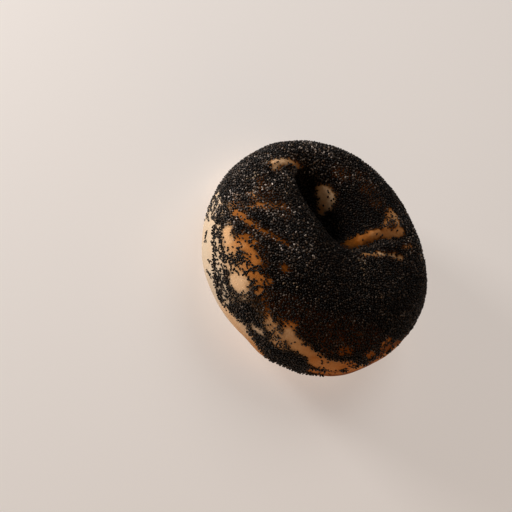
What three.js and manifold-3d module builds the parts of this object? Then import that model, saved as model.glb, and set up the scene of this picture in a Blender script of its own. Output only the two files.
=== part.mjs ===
import * as THREE from "three";
import { mergeVertices } from "three/addons/utils/BufferGeometryUtils.js";
import Module from "manifold-3d";

// A poppy seed bagel lying flat, in millimetres, +Z up, the flat underside on z = 0.
// One ring of baked dough with a small hole off its middle, so that one side of the ring is fat and the
// other is thin. The two ends of the dough meet in a radial seam at the hole's end. The largest of the
// poppy seeds stand proud of the crust and are fused to it.

const TAU = 2 * Math.PI;

// Outline of the ring seen from above.
const OUTER_RADIUS = 53;
// The outline swings in and out: cosine and sine shares of the radius, by how many go round the ring.
const LOBES = {
  1: [-0.0088, -0.0156],
  2: [0.0097, 0.01],
  3: [-0.001, 0.0005],
  4: [0.0007, -0.0013],
  5: [-0.0082, -0.0032],
};
const CORNER = { turn: -1.12, reach: 0.14, share: 0.0241 }; // a blunt corner by the pale side
// The throat of the hole is an ellipse.
const HOLE_X = -19;
const HOLE_Y = 5.5;
const HOLE_HALF_LENGTH = 17;
const HOLE_HALF_WIDTH = 5;
// Height of the crown: greatest on the fat side at -Y, least at the thin end of the hole at -X.
const CROWN = 42.5;
const CROWN_FAT_SIDE = 3;
const CROWN_THIN_END = 5;
const CROWN_LUMPS = 0.35;
// The widest level of the roll, as a share of its crown, and the fullness of its section.
const WAIST = 0.46;
const FULL_ABOVE = 2.3;
const FULL_BELOW = 2.7;
const BASE_PRESS = 1.06; // the underside is pressed flat where the round section would pass below the base
// Middle of the whole ring's outline, brought to x = y = 0.
const MIDDLE_X = -1.15;
const MIDDLE_Y = -1;

// Folds of the crust seen from above: each runs along a path and is a bell-shaped ridge or groove.
const SEAM = {
  path: [[2.5, 1], [5.6, 4.5], [6.6, 10], [7.4, 15], [8.8, 21], [11, 28], [14, 38]],
  lift: -2.4,
  reach: 2.1,
};
const FOLDS = [
  { path: [[-0.5, 6], [1, 10], [2.5, 15], [3.6, 22], [6.8, 31]], lift: 1.2, reach: 2.2 },
  { path: [[9, 9], [12.5, 15.5], [18.5, 21.5]], lift: -0.8, reach: 1.4 },
  { path: [[-42, -18.5], [-44.6, -12], [-43.7, -6], [-41.5, -1.5], [-37.5, 4]], lift: 1.2, reach: 2.2 },
  { path: [[-35, -37], [-29, -37], [-23.5, -35.2], [-15, -30.8], [-8.5, -27.2]], lift: -0.7, reach: 1.7 },
];
// The end of the fat roll stands higher than the thin roll across the seam.
const STEP_LIFT = 1.6;
const STEP_REACH = 3.6;
const STEP_FADE = 4;
const STEP_EDGE = 1;
const STEP_SOFT = 0.5;

const clamp = (v, low, high) => Math.min(high, Math.max(low, v));
const power = (v, fullness) => Math.sign(v) * Math.abs(v) ** (2 / fullness);
const bell = (distance, reach) => Math.exp(-((distance / reach) ** 2));

// The angle from one turn to another, from -PI to PI.
const turnBetween = (turn, other) => Math.atan2(Math.sin(turn - other), Math.cos(turn - other));

// Nearest place on a path: its distance, how far along it is from 0 to 1, and the signed distance to
// the right of the path.
function nearPath(x, y, path) {
  const lengths = path.slice(1).map((p, i) => Math.hypot(p[0] - path[i][0], p[1] - path[i][1]));
  const whole = lengths.reduce((a, b) => a + b, 0);
  let best = { distance: Infinity, along: 0, side: 0 };
  let before = 0;
  lengths.forEach((length, i) => {
    const [ax, ay] = path[i];
    const dx = path[i + 1][0] - ax;
    const dy = path[i + 1][1] - ay;
    const t = clamp(((x - ax) * dx + (y - ay) * dy) / length ** 2, 0, 1);
    const distance = Math.hypot(x - ax - t * dx, y - ay - t * dy);
    if (distance < best.distance) {
      const side = ((x - ax) * dy - (y - ay) * dx) / length;
      best = { distance, along: (before + t * length) / whole, side };
    }
    before += length;
  });
  return best;
}

// Lift of the folds at a place seen from above.
function foldLift(x, y) {
  const seam = nearPath(x, y, SEAM.path);
  const fade = 1 - seam.along ** 2;
  const stepShape =
    bell(seam.side - STEP_REACH, STEP_REACH) * bell(Math.max(seam.distance - STEP_REACH, 0), STEP_FADE);
  const step = (STEP_LIFT * stepShape) / (1 + Math.exp((STEP_EDGE - seam.side) / STEP_SOFT));
  let lift = (SEAM.lift * bell(seam.distance, SEAM.reach) + step) * fade;
  for (const fold of FOLDS) lift += fold.lift * bell(nearPath(x, y, fold.path).distance, fold.reach);
  return lift;
}

// A point of the crust: turn goes round the ring, roll goes round its section from the outer side over
// the crown to the hole and back under.
function crust(turn, roll) {
  const c = Math.cos(turn);
  const s = Math.sin(turn);
  let uneven = CORNER.share * bell(turnBetween(turn, CORNER.turn), CORNER.reach);
  for (const [count, [cosine, sine]] of Object.entries(LOBES)) {
    uneven += cosine * Math.cos(count * turn) + sine * Math.sin(count * turn);
  }
  const outer = OUTER_RADIUS * (1 + uneven);
  const out = [outer * c, outer * s];
  const hole = [HOLE_X + HOLE_HALF_LENGTH * c, HOLE_Y + HOLE_HALF_WIDTH * s];
  const thinEnd = ((1 - c) / 2) ** 3;
  const lumps = CROWN_LUMPS * (Math.sin(3 * turn + 1) + Math.sin(5 * turn + 2));
  const crown = CROWN - CROWN_FAT_SIDE * s - CROWN_THIN_END * thinEnd + lumps;
  const waist = WAIST * crown;
  const up = Math.sin(roll) >= 0;
  const fullness = up ? FULL_ABOVE : FULL_BELOW;
  const across = power(Math.cos(roll), fullness);
  const rise = power(Math.sin(roll), fullness);
  const x = (out[0] + hole[0]) / 2 + ((out[0] - hole[0]) / 2) * across;
  const y = (out[1] + hole[1]) / 2 + ((out[1] - hole[1]) / 2) * across;
  if (!up) return [x, y, Math.max(0, waist + waist * BASE_PRESS * rise)];
  return [x, y, waist + (crown - waist) * rise + rise ** 0.6 * foldLift(x, y)];
}

// Columns stand closer together round the seam.
const COLUMNS = 84;
const ROWS = 30;
const SEAM_TURN = 0.95; // radians
const CROWDING = 0.55;
const turnAt = (i) => {
  const t = (TAU * i) / COLUMNS;
  return t - CROWDING * Math.sin(t - SEAM_TURN);
};
const rollAt = (j) => (TAU * j) / ROWS;
const grid = Array.from({ length: COLUMNS }, (_, i) =>
  Array.from({ length: ROWS }, (_, j) => crust(turnAt(i), rollAt(j))),
);

function bodyGeometry() {
  const positions = [];
  const index = [];
  grid.forEach((column, i) =>
    column.forEach((point, j) => {
      positions.push(...point);
      const a = i * ROWS + j;
      const b = ((i + 1) % COLUMNS) * ROWS + j;
      const c = i * ROWS + ((j + 1) % ROWS);
      const d = ((i + 1) % COLUMNS) * ROWS + ((j + 1) % ROWS);
      index.push(a, b, c, d, c, b);
    }),
  );
  return new THREE.BufferGeometry()
    .setAttribute("position", new THREE.Float32BufferAttribute(positions, 3))
    .setIndex(index);
}

// The facet of the crust under a fractional place of the grid: the point on it and its outward normal.
function facet(u, v) {
  const i = Math.floor(u);
  const j = Math.floor(v);
  const corner = (di, dj) => new THREE.Vector3(...grid[(i + di) % COLUMNS][(j + dj) % ROWS]);
  let a = u - i;
  let b = v - j;
  const low = a + b < 1;
  const origin = low ? corner(0, 0) : corner(1, 1);
  const alongTurn = (low ? corner(1, 0) : corner(0, 1)).sub(origin);
  const alongRoll = (low ? corner(0, 1) : corner(1, 0)).sub(origin);
  if (!low) [a, b] = [1 - a, 1 - b];
  const normal = alongTurn.clone().cross(alongRoll).normalize();
  const point = origin.addScaledVector(alongTurn, a).addScaledVector(alongRoll, b);
  return { point, normal };
}

// Poppy seeds: the largest stand out of the crust by half a millimetre or more.
const SEED_COUNT = 330;
const SEED_SPACING = 4.2;
const SEED_HALF_LENGTH = 0.85;
const SEED_HALF_WIDTH = 0.62;
const SEED_PROUD = 0.6;
const SEED_SUNK = 0.55;
const SEED_WAIST_SUNK = 0.12;
const SEED_SMALLEST = 0.9; // as a share of the sizes above
const SEED_LARGEST = 1.2;
const SEED_SIDES = 6;
// The lower side is bare, highest round the turn where the pale dough shows most.
const BARE_HEIGHT = 12;
const BARE_RISE = 9;
const BARE_TURN = -2.27;
const BARE_REACH = 0.5;
const LOWEST_IN_HOLE = 27;
const HOLE_STARTS = 0.36; // share of the way round the roll
// Bare patches of the crust, each a ball of x, y, z and radius.
const PATCHES = [
  [-27, -44, 30, 4.5],
  [-22.5, -43.5, 35, 3.5],
  [-16, -43.5, 38.3, 5],
  [-5, -45.3, 38.8, 4.5],
  [-9, -50.5, 30, 5.5],
  [20, -44.6, 34.8, 4],
  [27, -43, 31.4, 4],
  [34, -39, 30, 4.5],
  [41, -33, 27.5, 5],
  [-21, 13.5, 29.5, 5.5],
  [1.5, 8, 34, 3.5],
  [4.5, 18.5, 39, 4.2],
  [6.5, 26.5, 40.5, 4],
  [-44.5, -8, 39.5, 3.5],
];
const MOST_DRAWS = 60000;
const LARGEST_FACET = 60; // square of the longest facet's diagonal
let draw = 20;
function random() {
  draw = (Math.imul(draw, 1664525) + 1013904223) >>> 0;
  return draw / 2 ** 32;
}

function seedGeometry({ point, normal }, heading, size) {
  const positions = [];
  const index = [];
  const east = new THREE.Vector3(1, 0, 0).cross(normal);
  if (east.lengthSq() < 0.01) east.set(0, 1, 0).cross(normal);
  east.normalize();
  const north = normal.clone().cross(east);
  for (let k = 0; k < SEED_SIDES; k++) {
    const angle = (TAU * k) / SEED_SIDES;
    const along = SEED_HALF_LENGTH * size * Math.cos(angle);
    const wide = SEED_HALF_WIDTH * size * Math.sin(angle);
    const place = point
      .clone()
      .addScaledVector(east, along * Math.cos(heading) - wide * Math.sin(heading))
      .addScaledVector(north, along * Math.sin(heading) + wide * Math.cos(heading))
      .addScaledVector(normal, -SEED_WAIST_SUNK * size);
    positions.push(place.x, place.y, place.z);
    const next = (k + 1) % SEED_SIDES;
    index.push(k, next, SEED_SIDES, next, k, SEED_SIDES + 1);
  }
  const top = point.clone().addScaledVector(normal, SEED_PROUD * size);
  const foot = point.clone().addScaledVector(normal, -SEED_SUNK * size);
  positions.push(top.x, top.y, top.z, foot.x, foot.y, foot.z);
  return new THREE.BufferGeometry()
    .setAttribute("position", new THREE.Float32BufferAttribute(positions, 3))
    .setIndex(index);
}

function isBare(point, v) {
  if (v > ROWS * HOLE_STARTS && point.z < LOWEST_IN_HOLE) return true;
  const turn = Math.atan2(point.y, point.x);
  if (point.z < BARE_HEIGHT + BARE_RISE * bell(turn - BARE_TURN, BARE_REACH)) return true;
  return PATCHES.some(([x, y, z, radius]) => Math.hypot(point.x - x, point.y - y, point.z - z) < radius);
}

// Seeds are drawn evenly over the area of the crown and the sides, each clear of the ones before it.
function seedPlaces() {
  const places = [];
  const upperRows = ROWS / 2;
  for (let tries = 0; tries < MOST_DRAWS && places.length < SEED_COUNT; tries++) {
    const u = random() * COLUMNS;
    const v = random() * upperRows;
    const heading = random() * TAU;
    const keep = random();
    const size = SEED_SMALLEST + (SEED_LARGEST - SEED_SMALLEST) * random();
    const place = facet(u, v);
    const before = facet(Math.floor(u) + 0.01, Math.floor(v) + 0.01).point;
    const after = facet(Math.floor(u) + 0.99, Math.floor(v) + 0.99).point;
    if (keep > before.distanceToSquared(after) / LARGEST_FACET) continue;
    if (isBare(place.point, v)) continue;
    if (places.some((other) => other.place.point.distanceTo(place.point) < SEED_SPACING)) continue;
    places.push({ place, heading, size });
  }
  return places;
}

const wasm = await Module();
wasm.setup();

function solid(geometry) {
  geometry.deleteAttribute("normal");
  geometry.deleteAttribute("uv");
  const merged = mergeVertices(geometry, 1e-4);
  return new wasm.Manifold(
    new wasm.Mesh({
      numProp: 3,
      vertProperties: merged.attributes.position.array,
      triVerts: new Uint32Array(merged.index.array),
    }),
  );
}

let bagel = solid(bodyGeometry());
for (const { place, heading, size } of seedPlaces()) {
  bagel = bagel.add(solid(seedGeometry(place, heading, size)));
}

const made = bagel.getMesh();
const geometry = new THREE.BufferGeometry()
  .setAttribute("position", new THREE.BufferAttribute(new Float32Array(made.vertProperties), 3))
  .setIndex(new THREE.BufferAttribute(new Uint32Array(made.triVerts), 1));
geometry.translate(-MIDDLE_X, -MIDDLE_Y, 0);
geometry.computeVertexNormals();

const group = new THREE.Group();
const mesh = new THREE.Mesh(geometry, new THREE.MeshStandardMaterial({ color: 0x2b2724 }));
mesh.name = "bagel";
group.add(mesh);
export default group;
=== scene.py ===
# %% [markdown]
# # A poppy seed bagel
# The real thing is a ring of dough, boiled and then baked on its flat underside. The crown browns, the
# lower side stays pale, and before baking the wet ring is pressed into poppy seeds. So there are two
# things to make here: the crust, and some twenty thousand seeds that lie on it. This script makes each
# at its true size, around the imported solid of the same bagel.

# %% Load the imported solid
from math import atan, cos, hypot, radians, sin, tau

import bpy
import numpy as np
from mathutils import Matrix, Vector, kdtree, noise


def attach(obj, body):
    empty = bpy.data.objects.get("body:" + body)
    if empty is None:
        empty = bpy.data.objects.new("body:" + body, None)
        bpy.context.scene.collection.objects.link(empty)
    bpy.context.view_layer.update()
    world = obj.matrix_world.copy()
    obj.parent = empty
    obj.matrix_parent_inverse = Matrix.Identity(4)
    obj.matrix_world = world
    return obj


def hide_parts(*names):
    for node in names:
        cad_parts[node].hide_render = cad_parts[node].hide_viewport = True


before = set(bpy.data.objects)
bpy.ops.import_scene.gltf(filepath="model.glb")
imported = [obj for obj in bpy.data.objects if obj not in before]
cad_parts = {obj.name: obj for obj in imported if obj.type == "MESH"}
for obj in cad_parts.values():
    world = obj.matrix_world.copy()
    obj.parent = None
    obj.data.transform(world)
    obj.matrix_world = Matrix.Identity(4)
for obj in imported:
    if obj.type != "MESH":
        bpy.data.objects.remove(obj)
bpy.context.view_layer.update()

MM = 0.001
NOISE_SEED = 2
noise.seed_set(NOISE_SEED)  # noise_vector would otherwise start from the clock


def linear(red, green, blue):
    """A colour given in screen values, 0 to 255, as the linear colour a shader wants."""
    shares = [v / 255 for v in (red, green, blue)]
    return [v / 12.92 if v <= 0.04045 else ((v + 0.055) / 1.055) ** 2.4 for v in shares] + [1.0]


# %% [markdown]
# ## The camera
# The bagel leans in the picture and lies flat here. What matters is how it is seen: from 52 degrees
# above its own flat side, with its axis pointing up and to the right. A camera that is turned about its
# own line of sight gives just that. It stands half a metre off, as a short telephoto lens would, so the
# near side of the ring is only a little larger than the far side.

# %% Camera
MIDDLE_X, MIDDLE_Y = -1.15, -1.0  # mm from the centre of the ring's round outline to the frame's origin
LOOK_HEIGHT = 21.0  # mm, about half the ring's height
CAMERA_ELEVATION = radians(52)
CAMERA_ROLL = radians(58)
CAMERA_DISTANCE = 480.0  # mm
CAMERA_LENS, CAMERA_SENSOR = 75.6, 36.0  # mm
PICTURE = 512.0  # pixels
AIM_RIGHT, AIM_DOWN = 65.0, 0.35  # pixels from the middle of the picture to the ring's centre


def to_frame(points):
    """Millimetres about the ring's own centre, to metres in the shared frame."""
    return (np.asarray(points, float) - (MIDDLE_X, MIDDLE_Y, 0.0)) * MM


ring_centre = Vector(to_frame((0.0, 0.0, LOOK_HEIGHT)))
away = Vector((0.0, -cos(CAMERA_ELEVATION), sin(CAMERA_ELEVATION)))
upright = (-away).to_track_quat("-Z", "Y").to_matrix()
camera_turn = upright @ Matrix.Rotation(CAMERA_ROLL, 3, "Z")
focal_pixels = CAMERA_LENS / CAMERA_SENSOR * PICTURE
look_aside = Matrix.Rotation(atan(AIM_RIGHT / focal_pixels), 3, "Y")
look_up = Matrix.Rotation(atan(AIM_DOWN / focal_pixels), 3, "X")
camera_place = ring_centre + away * CAMERA_DISTANCE * MM

camera = bpy.data.objects.new("camera", bpy.data.cameras.new("camera"))
camera.data.lens = CAMERA_LENS
camera.data.sensor_width = CAMERA_SENSOR
camera.matrix_world = Matrix.Translation(camera_place) @ (camera_turn @ look_aside @ look_up).to_4x4()
bpy.context.scene.collection.objects.link(camera)
bpy.context.scene.camera = camera
print("camera at, mm:", [round(v / MM) for v in camera_place])

# %% [markdown]
# ## Floor and light
# The light is soft and comes from the upper left, behind the bagel, so its crown gleams a little and the
# near side stays dark. A sky picture could light it too, but a lamp can be placed by eye, and its size
# is what makes a shadow soft. There are three square ones: a strong one for a window, a broader, weaker
# one for the bright room, and a broad warm one low at the right for what comes back from below. The
# floor is plain and glows faintly, so that it stays pale all over.

# %% Stage
FLOOR_REACH = 3.0  # metres each way
FLOOR_DROP = 0.0002  # metres below the bagel, so that the two faces don't flicker
FLOOR_COLOUR = (202, 196, 192)
FLOOR_ROUGHNESS = 0.8
GLOW_COLOUR = (238, 228, 221)
FLOOR_GLOW = 0.46
ROOM_TINT = (1.0, 0.975, 0.95, 1.0)
ROOM_STRENGTH = 0.03
DAYLIGHT = (1.0, 0.985, 0.96)
WARM_LIGHT = (1.0, 0.61, 0.28)
# Each light: side and distance in metres, power in watts, colour, and where it stands as the camera sees
# it: across to the right, up, and towards the camera.
LIGHTS = {
    "window": (0.18, 0.62, 3.3, DAYLIGHT, (-0.67, 0.60, 0.44)),
    "room_light": (0.4, 0.62, 1.2, DAYLIGHT, (0.50, 0.75, 0.30)),
    "warm_card": (0.7, 0.6, 0.9, WARM_LIGHT, (0.40, -0.78, 0.48)),
}


def node_material(name):
    """An empty node material and its Principled shader."""
    material = bpy.data.materials.new(name)
    material.use_nodes = True
    return material, material.node_tree.nodes["Principled BSDF"]


floor_mesh = bpy.data.meshes.new("floor")
corners = [(x * FLOOR_REACH, y * FLOOR_REACH, 0) for x, y in ((-1, -1), (1, -1), (1, 1), (-1, 1))]
floor_mesh.from_pydata(corners, [], [(0, 1, 2, 3)])
floor = bpy.data.objects.new("floor", floor_mesh)
floor.location.z = -FLOOR_DROP
bpy.context.scene.collection.objects.link(floor)
floor_paint, floor_shader = node_material("floor_paint")
floor_shader.inputs["Base Color"].default_value = linear(*FLOOR_COLOUR)
floor_shader.inputs["Roughness"].default_value = FLOOR_ROUGHNESS
floor_shader.inputs["Emission Color"].default_value = linear(*GLOW_COLOUR)
floor_shader.inputs["Emission Strength"].default_value = FLOOR_GLOW
floor_mesh.materials.append(floor_paint)

world = bpy.data.worlds.new("room")
world.use_nodes = True
world.node_tree.nodes["Background"].inputs["Color"].default_value = ROOM_TINT
world.node_tree.nodes["Background"].inputs["Strength"].default_value = ROOM_STRENGTH
bpy.context.scene.world = world
bpy.context.scene.view_settings.view_transform = "Standard"


def area_light(name, side, distance, power, colour, stands):
    """A square light that faces the ring from a direction as the camera sees it."""
    data = bpy.data.lights.new(name, "AREA")
    data.size = side
    data.energy = power
    data.color = colour
    light = bpy.data.objects.new(name, data)
    direction = camera_turn @ Vector(stands).normalized()
    light.location = ring_centre + direction * distance
    light.rotation_euler = direction.to_track_quat("Z", "Y").to_euler()
    bpy.context.scene.collection.objects.link(light)
    print(name, "stands towards", [round(v, 2) for v in direction])


for name, settings in LIGHTS.items():
    area_light(name, *settings)

# %% [markdown]
# ## The form of the ring
# A baker rolls a rope, closes it round the hand and presses the two ends together. What comes out of
# the oven is never an even torus: here the hole sits to one side, one stretch of the roll is fat and the
# other thin, and the joined ends leave a seam. A formula fits this better than sculpting, because every
# size keeps its name and the mesh can be as fine as it needs to be. The formula is the solid's own.

# %% Sizes of the ring, mm
OUTER_RADIUS = 53.0
# Cosine and sine shares of the radius, by how many lobes go round the ring.
LOBES = {
    1: (-0.0088, -0.0156),
    2: (0.0097, 0.01),
    3: (-0.001, 0.0005),
    4: (0.0007, -0.0013),
    5: (-0.0082, -0.0032),
}
CORNER_TURN, CORNER_REACH, CORNER_SHARE = -1.12, 0.14, 0.0241
HOLE_X, HOLE_Y = -19.0, 5.5
HOLE_HALF_LENGTH, HOLE_HALF_WIDTH = 17.0, 5.0
CROWN = 42.5
CROWN_FAT_SIDE = 3.0
CROWN_THIN_END, THIN_END_POWER = 5.0, 3
CROWN_LUMPS = 0.35
CROWN_WAVES = [(3, 1), (5, 2)]  # lumps round the ring, and where they start, in radians
WAIST = 0.46  # share of the crown's height at which the roll is widest
FULL_ABOVE, FULL_BELOW = 2.3, 2.7  # 2 is a round section, more is squarer
BASE_PRESS = 1.06  # how far the dough sinks onto its base, which cuts the section flat

# %% Folds of the crust, mm, seen from above
SEAM_PATH = [(2.5, 1), (5.6, 4.5), (6.6, 10), (7.4, 15), (8.8, 21), (11, 28), (14, 38)]
SEAM_LIFT, SEAM_REACH = -2.4, 2.1
# One of the joined ends stands proud of the other along the seam.
STEP_LIFT, STEP_REACH = 1.6, 3.6
STEP_STARTS, STEP_SOFT, STEP_FADE = 1.0, 0.5, 4.0
# Each fold: how far it lifts the crust, how far it reaches to either side, and its path.
FOLDS = {
    "ridge beside the seam": (1.2, 2.2, [(-0.5, 6), (1, 10), (2.5, 15), (3.6, 22), (6.8, 31)]),
    "crease beyond the seam": (-0.8, 1.4, [(9, 9), (12.5, 15.5), (18.5, 21.5)]),
    "ridge on the thin end": (1.2, 2.2,
        [(-42, -18.5), (-44.6, -12), (-43.7, -6), (-41.5, -1.5), (-37.5, 4)]),
    "crease along the fat roll": (-0.7, 1.7,
        [(-35, -37), (-29, -37), (-23.5, -35.2), (-15, -30.8), (-8.5, -27.2)]),
}
FOLD_FADE = 0.6  # how soon the folds fade down the roll
STEEPEST = 50.0  # keeps the exponential within what a number can hold
TINY = 1e-12


def bell(distance, reach):
    """1 at no distance, falling evenly to nothing beyond about twice the reach."""
    return np.exp(-((distance / reach) ** 2))


def power(value, fullness):
    """A sine or cosine bent so that the oval it draws is fuller."""
    return np.sign(value) * np.abs(value) ** (2 / fullness)


def smooth(value):
    """0 below 0, 1 above 1, and an easy rise between."""
    value = np.clip(value, 0.0, 1.0)
    return value * value * (3 - 2 * value)


def near_path(x, y, path):
    """Distance to a path seen from above, the share of the way along it, and the side."""
    lengths = [hypot(b[0] - a[0], b[1] - a[1]) for a, b in zip(path, path[1:])]
    best = np.full(np.shape(x), np.inf)
    along = np.zeros(np.shape(x))
    side = np.zeros(np.shape(x))
    before = 0.0
    for (ax, ay), (bx, by), length in zip(path, path[1:], lengths):
        dx, dy = bx - ax, by - ay
        t = np.clip(((x - ax) * dx + (y - ay) * dy) / length**2, 0, 1)
        distance = np.hypot(x - ax - t * dx, y - ay - t * dy)
        nearer = distance < best
        best = np.where(nearer, distance, best)
        along = np.where(nearer, (before + t * length) / sum(lengths), along)
        side = np.where(nearer, ((x - ax) * dy - (y - ay) * dx) / length, side)
        before += length
    return best, along, side


def fold_lift(x, y):
    """How far the seam and the folds lift the crust at places seen from above."""
    distance, along, side = near_path(x, y, SEAM_PATH)
    past_step = np.maximum(distance - STEP_REACH, 0)
    step = STEP_LIFT * bell(side - STEP_REACH, STEP_REACH) * bell(past_step, STEP_FADE)
    step = step / (1 + np.exp(np.clip((STEP_STARTS - side) / STEP_SOFT, -STEEPEST, STEEPEST)))
    total = (SEAM_LIFT * bell(distance, SEAM_REACH) + step) * (1 - along**2)
    for lift, reach, path in FOLDS.values():
        total = total + lift * bell(near_path(x, y, path)[0], reach)
    return total


def crust(turn, roll):
    """Points of the crust: turn goes round the ring, roll round its section from the outer side up."""
    c, s = np.cos(turn), np.sin(turn)
    from_corner = np.arctan2(np.sin(turn - CORNER_TURN), np.cos(turn - CORNER_TURN))
    uneven = CORNER_SHARE * bell(from_corner, CORNER_REACH)
    for count, (cosine, sine) in LOBES.items():
        uneven = uneven + cosine * np.cos(count * turn) + sine * np.sin(count * turn)
    out_x, out_y = OUTER_RADIUS * (1 + uneven) * c, OUTER_RADIUS * (1 + uneven) * s
    in_x, in_y = HOLE_X + HOLE_HALF_LENGTH * c, HOLE_Y + HOLE_HALF_WIDTH * s
    lumps = CROWN_LUMPS * sum(np.sin(count * turn + start) for count, start in CROWN_WAVES)
    crown = CROWN - CROWN_FAT_SIDE * s - CROWN_THIN_END * ((1 - c) / 2) ** THIN_END_POWER + lumps
    waist = WAIST * crown
    above = np.sin(roll) >= 0
    fullness = np.where(above, FULL_ABOVE, FULL_BELOW)
    across, rise = power(np.cos(roll), fullness), power(np.sin(roll), fullness)
    x = (out_x + in_x) / 2 + (out_x - in_x) / 2 * across
    y = (out_y + in_y) / 2 + (out_y - in_y) / 2 * across
    upper = waist + (crown - waist) * rise + np.maximum(rise, 0) ** FOLD_FADE * fold_lift(x, y)
    lower = np.maximum(0, waist + waist * BASE_PRESS * rise)
    return np.stack([x, y, np.where(above, upper, lower)], -1)


# %% [markdown]
# ## The crust mesh
# The grid is closed both ways, round the ring and round the roll, so it has no seam and no poles. On top
# of the formula comes the low relief that boiling leaves: soft lumps about a finger wide and finer ones
# inside them, pushed out along the surface. The flat underside keeps its level.

# %% Grid
COLUMNS, ROWS = 380, 168
LUMP_SIZE, LUMP_LIFT = 13.0, 0.45  # mm
WRINKLE_SIZE, WRINKLE_LIFT = 3.6, 0.10
WRINKLE_SHIFT = 40.0  # mm, so that the wrinkles don't repeat the lumps
RELIEF_ABOVE = 4.0  # mm over the base at which the relief is whole


def normals_of(grid):
    """Outward normals of a grid that is closed both ways."""
    round_ring = np.roll(grid, -1, 0) - np.roll(grid, 1, 0)
    round_roll = np.roll(grid, -1, 1) - np.roll(grid, 1, 1)
    normal = np.cross(round_ring, round_roll)
    return normal / np.maximum(np.linalg.norm(normal, axis=-1, keepdims=True), TINY)


def lumps_at(points, size):
    """Smooth noise, about -1 to 1, with lumps of a given size in mm."""
    flat = points.reshape(-1, 3) / size
    values = [noise.noise(Vector(p)) for p in flat.tolist()]
    return np.array(values).reshape(points.shape[:-1])


turn, roll = np.meshgrid(np.arange(COLUMNS) / COLUMNS * tau, np.arange(ROWS) / ROWS * tau, indexing="ij")
form = crust(turn, roll)
form_normal = normals_of(form)
wrinkles = lumps_at(form + WRINKLE_SHIFT, WRINKLE_SIZE)
relief = LUMP_LIFT * lumps_at(form, LUMP_SIZE) + WRINKLE_LIFT * wrinkles
off_base = smooth(form[..., 2] / RELIEF_ABOVE)
skin = form + form_normal * (relief * off_base)[..., None]
skin_normal = normals_of(skin)
print("crust, mm:", np.round(skin.min((0, 1)), 1), np.round(skin.max((0, 1)), 1))
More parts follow.
